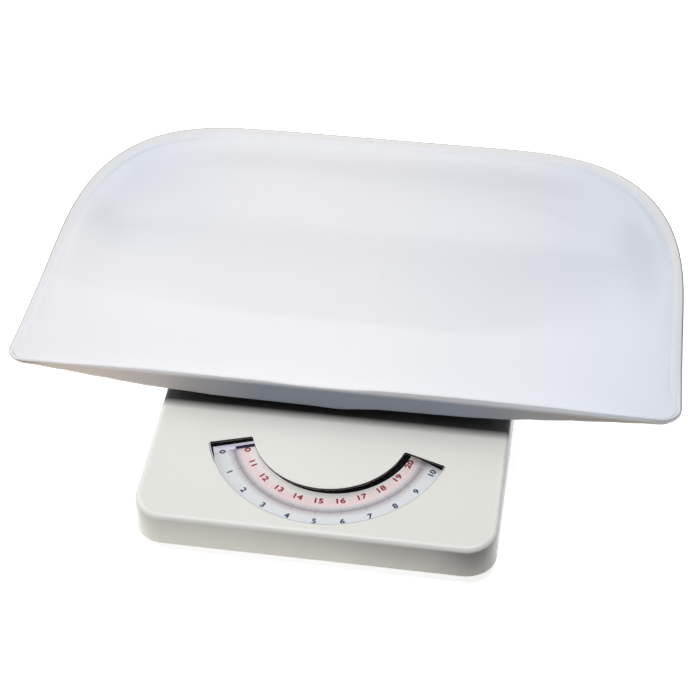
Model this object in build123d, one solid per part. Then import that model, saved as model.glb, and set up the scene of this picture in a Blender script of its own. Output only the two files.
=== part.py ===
from build123d import *
import math
import os

# Mechanical baby scale. All sizes are in millimetres.
# Depths run back from the front face of the base, heights run up from the floor, x is zero on the middle.

# Weighing range
capacity_travel = 3.5
dial_sweep = 280.0

# Tray
tray_length = 550.0
tray_depth = 294.0
tray_setback = 117.8
tray_front_height = 84.4
tray_back_height = 142.0
tray_rim_power = 2.6
tray_wall = 3.0
tray_seat_gap = 0.1
tray_front_radius = 18.0
tray_corner_length = 184.0
tray_corner_depth = 170.0
tray_corner_power = 3.2
tray_corner_steps = 14
tray_flat_length = 200.0
tray_floor_run = 108.0
tray_fold_softness = 12.0
tray_fold_share = 0.3
tray_end_rim = 5.0
tray_end_power = 1.25
tray_back_rim = 18.0
tray_blend_power = 2.5
tray_dish_reach = 35.0
tray_dish_power = 2.6
tray_front_ease = 0.5
tray_front_fade = 30.0
tray_grid_margin = 8.0
tray_grid_columns = 38
tray_grid_rows = 34
tray_grid_spread = 0.55
tray_slope_step = 1.0
tray_fit_error = 0.02
tray_rib = 3.0
tray_rib_back_gap = 12.0

# Base cover
base_width = 285.0
base_depth = 335.0
front_height = 35.6
skirt_gap = 8.3
panel_tilt = 8.7
seat_height = 64.2
cover_wall = 2.5
base_corner = 25.0
base_edge = 5.0

# Window and dial, measured from the dial's centre on the sloping panel
dial_up = 109.4
window_inner = 64.3
window_outer = 100.0
window_half_angle = 73.0
window_corner = 2.0
dial_recess = 8.9
lens_inset = 0.3
lens_flange = 4.0
lens_flange_thickness = 1.0
lens_gap = 0.3
card_thickness = 0.4
dial_plate_radius = 101.0
dial_plate_back = 34.0
dial_plate_thickness = 1.2
dial_post_radius = 3.5
dial_post_front = (78.0, -47.0)
dial_post_back = (48.0, 18.0)

# Needles
needle_length = 79.0
needle_tail = 18.0
needle_width = 4.4
needle_tip_width = 2.6
needle_thickness = 0.4
needle_hub_radius = 6.0
needle_lift = 0.4
needle_zero_angle = 199.0
needle_lag = 140.0
cap_radius = 5.0
cap_thickness = 0.5

# Bottom pan and feet
pan_height = 5.0
pan_wall = 1.5
pan_rim_height = 22.0
pan_gap = 3.0
foot_radius = 10.0
foot_top_radius = 9.0
foot_side_inset = 18.5
foot_inset = 34.0
foot_recess_radius = 4.6
foot_recess = 3.0
foot_screw_radius = 2.0
foot_screw_head_radius = 4.0
foot_screw_head = 1.6
foot_nut_height = 2.5

# Levers
fulcrum_inset = 48.0
fulcrum_back_inset = 33.0
fulcrum_height = 18.0
pin_radius = 2.0
pin_gap = 0.06
lever_side_inset = 30.5
lever_bar = 4.0
lever_bar_height = 8.0
lever_ratio = 2.8
lever_tail = 6.0
nose_radius = 3.0
nose_drop = 3.0
nose_half_width = 10.0
nose_height = 28.0
bracket_gap = 1.0
bracket_plate = 4.0
bracket_length = 16.0
bracket_foot = 14.0
bracket_foot_thickness = 2.0
bracket_lip = 5.0
hanger_play = 0.7
hanger_length = 14.0
contact_gap = 0.3

# Yoke, main spring and tower
tower_depth = 200.0
nose_spacing = 30.0
yoke_half_width = 12.0
yoke_thickness = 3.0
yoke_overhang = 5.0
spring_radius = 7.0
spring_bore = 4.6
spring_hook_radius = 1.0
tower_half_width = 20.0
tower_plate = 1.5
tower_length = 16.0
tower_guide_length = 20.0
tower_height = 56.0
anchor_pivot_forward = 6.0
anchor_pivot_height = 51.0
anchor_pin_radius = 1.5
anchor_hub_radius = 3.0
anchor_half_width = 5.0
anchor_thickness = 3.0
anchor_tail_drop = 11.0
anchor_tail_gap = 1.5

# Zero adjustment
zero_pitch = 1.0
shaft_radius = 3.0
nut_thickness = 5.0
nut_height = 8.0
nut_play = 0.3
zero_bracket_inset = 15.0
zero_bracket_width = 16.0
zero_bracket_thickness = 4.0
collar_radius = 5.0
collar_width = 3.0
knob_radius = 12.0
knob_bore_lip = 2.0
knob_length = 12.0
knob_ribs = 24
knob_rib_radius = 0.8
shaft_play = 1.0

# Crank, rack and spindle
crank_forward = 40.0
crank_swing = 34.0
crank_plate = 3.0
crank_arm_width = 7.0
crank_hub_radius = 4.0
crank_input_width = 3.0
crank_arm_end = 2.0
crank_x = 11.0
crank_bracket_gap = 0.3
crank_bracket_plate = 2.0
crank_bracket_margin = 1.0
roller_radius = 2.0
rack_pin_radius = 1.0
rack_pin_play = 0.5
tooth_module = 0.5
tooth_addendum = 0.8
tooth_dedendum = 1.25
pinion_teeth = 14
pressure_angle = 20.0
pinion_width = 4.0
mesh_backlash = 0.16
mesh_gap = 0.1
rack_thickness = 3.0
rack_back = 4.0
rack_spare_teeth = 4
spindle_radius = 1.5
bush_radius = 3.5
bush_flange = 5.0
movement_drop = 14.0
movement_plate_thickness = 1.2
movement_width = 50.0
movement_length = 44.0
spacer_radius = 2.0
spacer_inset = 4.0
guide_near = 8.0
guide_length = 14.0
guide_wall = 1.5
guide_gap = 0.15
return_spring_radius = 2.5
return_spring_bore = 1.7
return_spring_length = 34.0
peg_radius = 1.5

# Tray fixings
boss_x = 70.0
boss_front_depth = 212.0
boss_back_depth = 310.0
boss_radius = 5.0
boss_gap = 0.3
tray_screw_radius = 2.0
tray_screw_head_radius = 4.0
tray_screw_head = 2.5
washer_radius = 8.0
washer_thickness = 1.0
tray_screw_skin = 1.0

# How far a cut reaches past the material
cut_over = 1.0

# Worked out from the sizes above
overall_depth = tray_setback + tray_depth
tilt = math.radians(panel_tilt)
sin_t = math.sin(tilt)
cos_t = math.cos(tilt)
pan_floor = pan_height + pan_wall
pan_inset = cover_wall + pan_gap
yoke_travel = capacity_travel * lever_ratio
fulcrum_back_depth = base_depth - fulcrum_back_inset
foot_x = base_width / 2 - foot_side_inset
lever_arm_x = base_width / 2 - lever_side_inset
crank_depth = tower_depth - crank_forward
front_reach = tower_depth - nose_spacing / 2 - fulcrum_inset
back_reach = fulcrum_back_depth - tower_depth - nose_spacing / 2
bracket_x = lever_arm_x + lever_bar / 2 + bracket_gap
yoke_top = nose_height - nose_radius - contact_gap
yoke_bottom = yoke_top - yoke_thickness
nut_height_centre = anchor_pivot_height - anchor_tail_drop
crank_half_swing = math.radians(crank_swing / 2)
crank_input = yoke_travel / 2 / math.sin(crank_half_swing)
crank_height = yoke_bottom - contact_gap - roller_radius - yoke_travel / 2
pinion_radius = tooth_module * pinion_teeth / 2
rack_travel = math.radians(dial_sweep) * pinion_radius
crank_output = rack_travel / 2 / math.tan(crank_half_swing)
tooth_pitch = math.pi * tooth_module
rack_pitch_x = pinion_radius + mesh_gap
rack_root_x = rack_pitch_x + tooth_dedendum * tooth_module
rack_x = rack_root_x + rack_back / 2


def y_at(depth):
    """Y of a depth behind the front face of the base."""
    return depth - overall_depth / 2


def panel_point(depth, height):
    """How far up the panel a point of the side view is, and how far under the panel's surface."""
    up = depth * cos_t + (height - front_height) * sin_t
    under = depth * sin_t - (height - front_height) * cos_t
    return up, under


# The crank's pivot sets how deep the rack runs, and where its pin starts.
crank_up, crank_under = panel_point(crank_depth, crank_height)
rack_under = crank_under - crank_output
rack_pin_start = crank_up - dial_up - rack_travel / 2

panel = Plane(
    origin=(0, y_at(dial_up * cos_t), front_height + dial_up * sin_t),
    x_dir=(1, 0, 0),
    z_dir=(0, -sin_t, cos_t),
)


def block(x, depth, z):
    """Box between pairs of x, depth and height."""
    size = Box(x[1] - x[0], depth[1] - depth[0], z[1] - z[0])
    return Pos((x[0] + x[1]) / 2, y_at((depth[0] + depth[1]) / 2), (z[0] + z[1]) / 2) * size


def rod(turn, start, length, radius):
    """Cylinder from a start point (x, depth, height), turned from +Z by a rotation."""
    body = Cylinder(radius, length, align=(Align.CENTER, Align.CENTER, Align.MIN))
    return Pos(start[0], y_at(start[1]), start[2]) * turn * body


along_x = Rot(0, 90, 0)
along_y = Rot(-90, 0, 0)
upright = Rot(0, 0, 0)


def under_panel(under, sketch, thickness):
    """Plate parallel to the panel, its top a distance under the panel's surface."""
    return extrude(panel.offset(-under) * sketch, amount=-thickness)


def panel_rod(x, up, under, length, radius):
    """Cylinder square to the panel, from a depth under it and downwards."""
    return under_panel(under, Pos(x, up) * Circle(radius), length)


def base_block(inset, drop, bottom):
    """Outer form of the base, drawn in at the sides by inset and lowered on top by drop."""
    back = base_depth - inset
    flat = seat_height - drop
    rise = drop / cos_t
    crest = (flat - front_height + rise) / math.tan(tilt)
    lip = front_height + inset * math.tan(tilt) - rise
    outline = Polyline(
        (y_at(inset), bottom),
        (y_at(back), bottom),
        (y_at(back), flat),
        (y_at(crest), flat),
        (y_at(inset), lip),
        close=True,
    )
    body = extrude(Plane.YZ * make_face(outline), amount=base_width / 2 - inset, both=True)
    body = fillet(body.edges().filter_by(Axis.Z), base_corner - inset)
    tops = [face for face in body.faces() if face.normal_at().Z > 0.5]
    rims = [edge for face in tops for edge in face.edges() if abs(edge.center().Y - y_at(crest)) > cut_over]
    return fillet(rims, base_edge - inset)


def window_sketch(grow):
    """Window outline in the panel's own plane, grown or shrunk by a margin."""
    arcs = []
    for radius in (window_outer + grow, window_inner - grow):
        half = window_half_angle + math.degrees(math.asin(grow / radius))
        arcs.append(CenterArc((0, 0), radius, -90 - half, 2 * half))
    outer, inner = arcs
    ends = [Line(inner @ 0, outer @ 0), Line(inner @ 1, outer @ 1)]
    face = make_face([outer, inner] + ends)
    return fillet(face.vertices(), window_corner + grow)


def tray_boss_places():
    return [(x, depth) for x in (-boss_x, boss_x) for depth in (boss_front_depth, boss_back_depth)]


def make_cover():
    outer = base_block(0, 0, skirt_gap)
    hollow = base_block(cover_wall, cover_wall, 0)
    body = outer - hollow
    body -= under_panel(-cover_wall, window_sketch(0), 3 * cover_wall)
    for x, depth in tray_boss_places():
        body -= rod(upright, (x, depth, seat_height - 2 * cover_wall), 3 * cover_wall, boss_radius + boss_gap)
    half = shaft_radius + shaft_play
    low = nut_height_centre - half
    high = nut_height_centre + half + capacity_travel
    wall = (base_depth - 2 * cover_wall, base_depth + cover_wall)
    body -= block((-half, half), wall, (low, high))
    return body


def make_lens():
    plug = under_panel(lens_inset, window_sketch(-lens_gap), cover_wall - lens_inset)
    flange = under_panel(cover_wall, window_sketch(lens_flange), lens_flange_thickness)
    return plug + flange


def tray_corner():
    """Right back corner of the tray's outline, from its side to its back."""
    mid_x = tray_length / 2 - tray_corner_length
    mid_y = y_at(tray_setback + tray_depth - tray_corner_depth)
    points = []
    for step in range(tray_corner_steps + 1):
        turn = math.pi / 2 * step / tray_corner_steps
        along = round(math.cos(turn), 9) ** (2 / tray_corner_power)
        back = round(math.sin(turn), 9) ** (2 / tray_corner_power)
        points.append((mid_x + tray_corner_length * along, mid_y + tray_corner_depth * back))
    return points


def tray_inset(x, y):
    """Distance from the tray's side or back edge, zero outside."""
    front = y_at(tray_setback - tray_grid_margin)
    edge = [(tray_length / 2, front)] + tray_corner() + [(0, y_at(tray_setback + tray_depth))]
    nearest = tray_length
    outside = False
    for start, end in zip(edge, edge[1:]):
        step_x = end[0] - start[0]
        step_y = end[1] - start[1]
        from_x = abs(x) - start[0]
        from_y = y - start[1]
        share = (from_x * step_x + from_y * step_y) / (step_x**2 + step_y**2)
        share = min(max(share, 0), 1)
        away = math.hypot(from_x - share * step_x, from_y - share * step_y)
        if away < nearest:
            nearest = away
            outside = step_x * from_y - step_y * from_x < 0
    return 0 if outside else nearest


def rim_height(y):
    share = max(y - y_at(tray_setback), 0) / tray_depth
    return tray_front_height + (tray_back_height - tray_front_height) * share**tray_rim_power


def tray_floor(x, y):
    """Top of the tray's floor: flat, with ends and a back that curve up."""
    flat = seat_height + tray_seat_gap + tray_wall
    past = max(abs(x) - tray_flat_length / 2, 0) / (tray_length / 2 - tray_flat_length / 2)
    ends = (tray_front_height - tray_end_rim + tray_wall - flat) * past**tray_end_power
    run = y - y_at(tray_setback + tray_floor_run)
    if abs(run) < tray_fold_softness:
        run = (run + tray_fold_softness) ** 2 / (4 * tray_fold_softness)
    run = max(run, 0) / (tray_depth - tray_floor_run)
    back = tray_back_height - tray_back_rim + tray_wall - flat
    back = back * (tray_fold_share * run + (1 - tray_fold_share) * run**2)
    return flat + (ends**tray_blend_power + back**tray_blend_power) ** (1 / tray_blend_power)


def tray_top(x, y):
    """Upper face of the tray, whose sides and back rise from the floor to the rim in a soft curve."""
    floor = tray_floor(x, y)
    wall = max(rim_height(y) - floor, 0)
    share = 1 / (1 + (tray_inset(x, y) / tray_dish_reach) ** tray_dish_power)
    ease = 1 - tray_front_ease * math.exp(-max(y - y_at(tray_setback), 0) / tray_front_fade)
    return floor + wall * share * ease


def tray_under(x, y):
    """Under face of the tray, a wall's thickness below the upper one, square to it."""
    slope_x = tray_top(x + tray_slope_step, y) - tray_top(x - tray_slope_step, y)
    slope_y = tray_top(x, y + tray_slope_step) - tray_top(x, y - tray_slope_step)
    slope = math.hypot(slope_x, slope_y) / (2 * tray_slope_step)
    return tray_top(x, y) - tray_wall * math.hypot(1, slope)


def over_surface(height_at):
    """Solid over a face whose height is given at every place of the tray."""
    reach = tray_length / 2 + tray_grid_margin
    rows = []
    for column in range(tray_grid_columns + 1):
        share = 2 * column / tray_grid_columns - 1
        wave = math.sin(math.pi / 2 * share)
        x = reach * (tray_grid_spread * share + (1 - tray_grid_spread) * wave)
        row = []
        for step in range(tray_grid_rows + 1):
            deep = (tray_depth + 2 * tray_grid_margin) * step / tray_grid_rows
            y = y_at(tray_setback - tray_grid_margin + deep)
            row.append(Vector(x, y, height_at(x, y)))
        rows.append(row)
    face = Face.make_surface_from_array_of_points(rows, tol=tray_fit_error, min_deg=3, max_deg=3)
    return Solid.extrude(face, Vector(0, 0, 2 * tray_back_height))


def tray_plan():
    """Tray's plan outline as a tall prism."""
    corner = tray_corner()
    mirrored = [(-x, y) for x, y in reversed(corner)]
    half = tray_length / 2
    front = y_at(tray_setback)
    lines = [
        Polyline(mirrored[-1], (-half, front), (half, front), corner[0]),
        Spline(corner, tangents=((0, 1), (-1, 0))),
        Line(corner[-1], mirrored[0]),
        Spline(mirrored, tangents=((-1, 0), (0, -1))),
    ]
    plan = make_face(lines)
    plan = fillet(plan.vertices().group_by(Axis.Y)[0], tray_front_radius)
    return extrude(plan, amount=2 * tray_back_height)


def front_slab(inset):
    """Block over the tray's front strip, with its two round corners."""
    run = tray_front_radius - inset
    middle = y_at(tray_setback + inset) + run / 2
    plan = Pos(0, middle) * Rectangle(tray_length - 2 * inset, run)
    rounded = run - cut_over / 2
    plan = fillet(plan.vertices().group_by(Axis.Y)[0], rounded)
    return extrude(plan, amount=tray_front_height)


def make_tray():
    over_floor = over_surface(tray_under)
    body = (tray_plan() & over_floor) - over_surface(tray_top)
    front_wall = front_slab(0) - front_slab(tray_wall)
    body += front_wall & over_floor
    rib_end = base_depth - tray_rib_back_gap
    for side in (-1, 1):
        width = (side * boss_x - tray_rib / 2, side * boss_x + tray_rib / 2)
        fold = tray_setback + tray_floor_run
        rib_top = tray_under(boss_x, y_at(rib_end)) + tray_wall / 2
        body += block(width, (fold, rib_end), (seat_height, rib_top)) - over_floor
    for x, depth in tray_boss_places():
        low = seat_height - cover_wall
        top = tray_under(x, y_at(depth + boss_radius)) + tray_wall / 2
        body += rod(upright, (x, depth, low), top - low, boss_radius) - over_floor
    for x, depth in tray_boss_places():
        length = cover_wall + tray_wall - tray_screw_skin
        body -= rod(upright, (x, depth, seat_height - cover_wall), length, tray_screw_radius)
    return body


def make_tray_screws():
    screws = []
    seat = seat_height - cover_wall
    washer = seat - washer_thickness
    head = washer - tray_screw_head
    for x, depth in tray_boss_places():
        screw = rod(upright, (x, depth, washer), washer_thickness, washer_radius)
        screw += rod(upright, (x, depth, head), tray_screw_head, tray_screw_head_radius)
        screw += rod(upright, (x, depth, seat), cover_wall + tray_wall - tray_screw_skin, tray_screw_radius)
        screws.append(screw)
    return screws


def lever_tilt(reach):
    """Angle at which a lever of this reach carries its nose at the nose's rest height."""
    length = math.hypot(reach, nose_drop)
    return math.asin((nose_height - fulcrum_height) / length) + math.atan2(nose_drop, reach)


def bar_sketch(start, end):
    """Straight bar of the lever's width between two points, with round ends."""
    run = math.hypot(end[0] - start[0], end[1] - start[1])
    angle = math.degrees(math.atan2(end[1] - start[1], end[0] - start[0]))
    middle = Pos((start[0] + end[0]) / 2, (start[1] + end[1]) / 2)
    bar = middle * Rot(0, 0, angle) * Rectangle(run, lever_bar)
    return bar + Pos(*start) * Circle(lever_bar / 2) + Pos(*end) * Circle(lever_bar / 2)


def lever_frame(reach):
    """Lever in its own frame: fulcrum on the X axis, nose towards +Y."""
    load = reach / lever_ratio
    shoulder = load + lever_tail + pin_radius
    neck = reach - 2 * nose_radius - lever_bar
    sketch = bar_sketch((-nose_half_width, neck), (nose_half_width, neck))
    for side in (-1, 1):
        heel = (side * lever_arm_x, -lever_tail)
        elbow = (side * lever_arm_x, shoulder)
        neck_point = (side * nose_half_width, neck)
        sketch += bar_sketch(heel, elbow) + bar_sketch(elbow, neck_point)
        sketch += bar_sketch(neck_point, (side * nose_half_width, reach))
    frame = extrude(sketch, amount=lever_bar_height / 2, both=True)
    nose = Pos(0, reach, -nose_drop) * Rot(0, 90, 0) * Cylinder(nose_radius, 2 * nose_half_width + lever_bar)
    frame += nose
    for side in (-1, 1):
        for place in (0, load):
            frame -= Pos(side * lever_arm_x, place, 0) * Rot(0, 90, 0) * Cylinder(pin_radius, 2 * lever_bar)
    return frame


def lever_pins(reach):
    """Fulcrum and load pins of a lever, in the lever's own frame."""
    inner = lever_arm_x - lever_bar / 2
    length = bracket_x + bracket_plate + bracket_gap - inner
    pins = []
    for side in (-1, 1):
        for place in (0, reach / lever_ratio):
            middle = side * (inner + length / 2)
            pins.append(Pos(middle, place, 0) * Rot(0, 90, 0) * Cylinder(pin_radius, length))
    return pins


def set_front_lever(shape):
    turn = Rot(math.degrees(lever_tilt(front_reach)), 0, 0)
    return Pos(0, y_at(fulcrum_inset), fulcrum_height) * turn * shape


def set_back_lever(shape):
    turn = Rot(0, 0, 180) * Rot(math.degrees(lever_tilt(back_reach)), 0, 0)
    return Pos(0, y_at(fulcrum_back_depth), fulcrum_height) * turn * shape


def make_fulcrum(side, depth):
    """Standing bracket with an open seat for a lever's fulcrum pin."""
    near = side * bracket_x
    far = side * (bracket_x + bracket_plate)
    foot = side * (bracket_x + bracket_plate - bracket_foot)
    span = (depth - bracket_length / 2, depth + bracket_length / 2)
    top = fulcrum_height + bracket_lip
    body = block(sorted((near, far)), span, (pan_floor, top))
    body += block(sorted((foot, far)), span, (pan_floor, pan_floor + bracket_foot_thickness))
    seat = pin_radius + pin_gap
    start = min(near, far) - bracket_gap
    width = bracket_plate + 2 * bracket_gap
    body -= rod(along_x, (start, depth, fulcrum_height), width, seat)
    body -= block((start, start + width), (depth - seat, depth + seat), (fulcrum_height, top + cut_over))
    return body


def make_hanger(side, depth, height):
    """Post under the cover that rests on a lever's load pin."""
    hollow = base_block(cover_wall, cover_wall, 0)
    lowered = base_block(cover_wall, cover_wall + bracket_foot_thickness, 0)
    near = side * bracket_x
    far = side * (bracket_x + bracket_plate)
    foot = side * (bracket_x + bracket_plate - bracket_foot)
    span = (depth - hanger_length / 2, depth + hanger_length / 2)
    top = 2 * seat_height
    post = block(sorted((near, far)), span, (height - pin_radius, top)) & hollow
    flange = block(sorted((foot, far)), span, (height, top)) & (hollow - lowered)
    body = post + flange
    play = pin_radius + hanger_play
    start = min(near, far) - bracket_gap
    width = (start, start + bracket_plate + 2 * bracket_gap)
    slot = (height - 2 * pin_radius, height + pin_radius + contact_gap)
    body -= block(width, (depth - play, depth + play), slot)
    return body


def load_place(reach, depth, direction):
    """Depth and height of a lever's load pin at rest."""
    load = reach / lever_ratio
    angle = lever_tilt(reach)
    return depth + direction * load * math.cos(angle), fulcrum_height + load * math.sin(angle)


def make_pan():
    plan = Pos(0, y_at(base_depth / 2)) * RectangleRounded(
        base_width - 2 * pan_inset, base_depth - 2 * pan_inset, base_corner - pan_inset
    )
    inner = Pos(0, y_at(base_depth / 2)) * RectangleRounded(
        base_width - 2 * pan_inset - 2 * pan_wall,
        base_depth - 2 * pan_inset - 2 * pan_wall,
        base_corner - pan_inset - pan_wall,
    )
    body = Pos(0, 0, pan_height) * extrude(plan, amount=pan_rim_height - pan_height)
    body -= Pos(0, 0, pan_floor) * extrude(inner, amount=pan_rim_height)
    for x, depth in foot_places().values():
        body -= rod(upright, (x, depth, 0), 2 * pan_floor, foot_screw_radius)
    return body


def foot_places():
    places = {}
    for end, depth in (("front", foot_inset), ("back", base_depth - foot_inset)):
        for name, side in (("left", -1), ("right", 1)):
            places[end + "_" + name] = (side * foot_x, depth)
    return places


def make_foot(x, depth):
    body = Cone(foot_top_radius, foot_radius, pan_height, align=(Align.CENTER, Align.CENTER, Align.MIN))
    body = Pos(x, y_at(depth), 0) * body
    body -= rod(upright, (x, depth, 0), foot_recess, foot_recess_radius)
    body -= rod(upright, (x, depth, 0), pan_height, foot_screw_radius)
    return body


def make_foot_screws():
    screws = []
    head = foot_recess - foot_screw_head
    top = pan_floor + foot_nut_height
    for x, depth in foot_places().values():
        screw = rod(upright, (x, depth, head), foot_screw_head, foot_screw_head_radius)
        screw += rod(upright, (x, depth, foot_recess), top - foot_recess, foot_screw_radius)
        screw += rod(upright, (x, depth, pan_floor), foot_nut_height, foot_screw_head_radius)
        screws.append(screw)
    return screws


def make_yoke():
    """Plate that both levers press down and the main spring holds up, with a finger over the crank."""
    reach = nose_spacing / 2 + yoke_overhang
    levels = (yoke_bottom, yoke_top)
    width = (-yoke_half_width, yoke_half_width)
    body = block(width, (tower_depth - reach, tower_depth + reach), levels)
    finger = (crank_x - crank_plate, crank_x + crank_plate)
    tip = crank_depth + crank_input * math.cos(crank_half_swing) - roller_radius / 2
    body += block(finger, (tip, tower_depth - nose_spacing / 2), levels)
    start = (0, tower_depth, yoke_bottom - cut_over)
    body -= rod(upright, start, yoke_thickness + 2 * cut_over, spring_hook_radius)
    return body


def make_main_spring():
    anchor = anchor_pivot_height - anchor_hub_radius - contact_gap
    low = yoke_top + contact_gap
    wire = 2 * spring_hook_radius
    body = rod(upright, (0, tower_depth, low), anchor - low, spring_radius)
    body -= rod(upright, (0, tower_depth, low + wire / 2), anchor - low - wire, spring_bore)
    hook = yoke_bottom - wire
    body += rod(upright, (0, tower_depth, hook), low - hook, spring_hook_radius)
    body += rod(upright, (0, tower_depth, hook), wire, wire)
    top = anchor_pivot_height + anchor_thickness / 2 + wire
    body += rod(upright, (0, tower_depth, anchor), top - anchor, spring_hook_radius)
    body += rod(upright, (0, tower_depth, top - wire), wire, wire)
    return body


def make_tower():
    """Bracket that straddles the yoke and carries the spring's anchor arm."""
    inner = tower_half_width - tower_plate
    front = tower_depth - tower_length / 2
    back = tower_depth + tower_length / 2
    body = Part()
    for side in (-1, 1):
        leg = sorted((side * inner, side * tower_half_width))
        foot = sorted((side * inner, side * (tower_half_width + tower_length / 2)))
        body += block(leg, (front, back), (pan_floor, tower_height))
        guide = (nut_height_centre - nut_height / 2, tower_height)
        body += block(leg, (back, back + tower_guide_length), guide)
        body += block(foot, (front, back), (pan_floor, pan_floor + tower_plate))
    bridge = (back + tower_guide_length - tower_length / 2, back + tower_guide_length)
    body += block((-tower_half_width, tower_half_width), bridge, (tower_height - tower_plate, tower_height))
    start = (-2 * tower_half_width, tower_depth - anchor_pivot_forward, anchor_pivot_height)
    body -= rod(along_x, start, 4 * tower_half_width, anchor_pin_radius)
    return body


def make_anchor_pin():
    pivot = tower_depth - anchor_pivot_forward
    length = 2 * tower_half_width + 2 * tower_plate
    return rod(along_x, (-length / 2, pivot, anchor_pivot_height), length, anchor_pin_radius)


def anchor_tail_depth():
    return tower_depth + spring_radius + anchor_tail_gap


def make_anchor_arm():
    """Arm that holds the spring's upper hook, with a tail that the zero nut pushes."""
    pivot = tower_depth - anchor_pivot_forward
    width = (-anchor_half_width, anchor_half_width)
    tail = anchor_tail_depth()
    half = anchor_thickness / 2
    top = (anchor_pivot_height - half, anchor_pivot_height + half)
    body = block(width, (pivot, tail + anchor_thickness), top)
    body += block(width, (tail, tail + anchor_thickness), (nut_height_centre - half, anchor_pivot_height))
    hub = (-anchor_half_width, pivot, anchor_pivot_height)
    body += rod(along_x, hub, 2 * anchor_half_width, anchor_hub_radius)
    bore = anchor_pin_radius + pin_gap
    body -= rod(along_x, (-tower_half_width, pivot, anchor_pivot_height), 2 * tower_half_width, bore)
    start = (0, tower_depth, anchor_pivot_height - anchor_thickness)
    body -= rod(upright, start, 2 * anchor_thickness, spring_hook_radius)
    return body


def make_zero_nut():
    face = anchor_tail_depth() + anchor_thickness + contact_gap
    half = tower_half_width - tower_plate - nut_play
    z = (nut_height_centre - nut_height / 2, nut_height_centre + nut_height / 2)
    body = block((-half, half), (face, face + nut_thickness), z)
    bore = shaft_radius + pin_gap
    body -= rod(along_y, (0, face - cut_over, nut_height_centre), nut_thickness + 2 * cut_over, bore)
    return body


def make_zero_shaft():
    start = anchor_tail_depth() + anchor_thickness + contact_gap + zero_pitch
    end = base_depth + knob_length
    body = rod(along_y, (0, start, nut_height_centre), end - start, shaft_radius)
    bracket = base_depth - zero_bracket_inset
    half = zero_bracket_thickness / 2 + contact_gap
    body += rod(along_y, (0, bracket - half - collar_width, nut_height_centre), collar_width, collar_radius)
    body += rod(along_y, (0, bracket + half, nut_height_centre), collar_width, collar_radius)
    return body


def make_zero_bracket():
    depth = base_depth - zero_bracket_inset
    half = zero_bracket_thickness / 2
    width = (-zero_bracket_width / 2, zero_bracket_width / 2)
    top = nut_height_centre + collar_radius + bracket_gap
    body = block(width, (depth - half, depth + half), (pan_floor, top))
    body += block(width, (depth - 3 * half, depth + half), (pan_floor, pan_floor + bracket_foot_thickness))
    body -= rod(along_y, (0, depth - 2 * half, nut_height_centre), 4 * half, shaft_radius + pin_gap)
    return body


def make_zero_knob():
    start = base_depth + knob_bore_lip
    body = rod(along_y, (0, start, nut_height_centre), knob_length, knob_radius)
    body = chamfer(body.edges(), knob_rib_radius)
    for step in range(knob_ribs):
        angle = 2 * math.pi * step / knob_ribs
        x = knob_radius * math.cos(angle)
        z = nut_height_centre + knob_radius * math.sin(angle)
        body -= rod(along_y, (x, start, z), knob_length, knob_rib_radius)
    body -= rod(along_y, (0, start, nut_height_centre), knob_length - knob_bore_lip, shaft_radius)
    return body


def half_plate_sketch():
    """Round dial plate, cut straight behind the spindle."""
    depth = dial_plate_radius + dial_plate_back
    window = Pos(0, dial_plate_back - depth / 2) * Rectangle(2 * dial_plate_radius, depth)
    return Circle(dial_plate_radius) & window


def make_dial_plate():
    under = dial_recess + card_thickness
    body = under_panel(under, half_plate_sketch(), dial_plate_thickness)
    return body - panel_rod(0, 0, under, dial_plate_thickness, bush_radius)


def make_dial_card():
    return under_panel(dial_recess, window_sketch(0), card_thickness)


def post_places():
    places = [(side * place[0], place[1]) for place in (dial_post_front, dial_post_back) for side in (-1, 1)]
    return places


def make_dial_posts():
    """Posts that carry the dial plate on the pan, trimmed to the plate's slope."""
    plate_under = dial_recess + card_thickness + dial_plate_thickness
    reach = 4 * dial_plate_radius
    room = under_panel(plate_under, Rectangle(reach, reach), reach)
    posts = []
    for x, up in post_places():
        foot = panel.from_local_coords((x, up, -plate_under))
        depth = foot.Y + overall_depth / 2
        posts.append(rod(upright, (x, depth, pan_floor), tower_height, dial_post_radius) & room)
    return posts


def make_movement_plate():
    under = dial_recess + movement_drop
    body = under_panel(under, Rectangle(movement_width, movement_length), movement_plate_thickness)
    return body - panel_rod(0, 0, under, movement_plate_thickness, bush_radius)


def make_spacers():
    top = dial_recess + card_thickness + dial_plate_thickness
    length = dial_recess + movement_drop - top
    spacers = []
    for side in (-1, 1):
        for end in (-1, 1):
            x = side * (movement_width / 2 - spacer_inset)
            up = end * (movement_length / 2 - spacer_inset)
            spacers.append(panel_rod(x, up, top, length, spacer_radius))
    return spacers


def make_bush(under, thickness):
    """Flanged bearing seated in a plate, its flange below the plate."""
    body = panel_rod(0, 0, under, thickness, bush_radius)
    body += panel_rod(0, 0, under + thickness, thickness, bush_flange)
    return body - panel_rod(0, 0, under, 2 * thickness, spindle_radius + pin_gap)


def needle_levels():
    """Heights of the needles' tops, the hub's cap and the spindle's end, as depths under the panel."""
    low = dial_recess - needle_lift - needle_thickness
    high = low - needle_thickness
    return low, high, high - cap_thickness


def make_needle(angle, under):
    half = needle_width / 2
    tip = needle_tip_width / 2
    outline = Polyline(
        (-needle_tail, half),
        (0, half),
        (needle_length, tip),
        (needle_length, -tip),
        (0, -half),
        (-needle_tail, -half),
        close=True,
    )
    sketch = make_face(outline) + Circle(needle_hub_radius)
    sketch -= Circle(spindle_radius)
    return under_panel(under, Rot(0, 0, angle) * sketch, needle_thickness)


def make_spindle():
    top = needle_levels()[1]
    end = dial_recess + movement_drop + 2 * movement_plate_thickness
    return panel_rod(0, 0, top, end - top, spindle_radius)


def make_cap():
    return panel_rod(0, 0, needle_levels()[2], cap_thickness, cap_radius)


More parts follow.
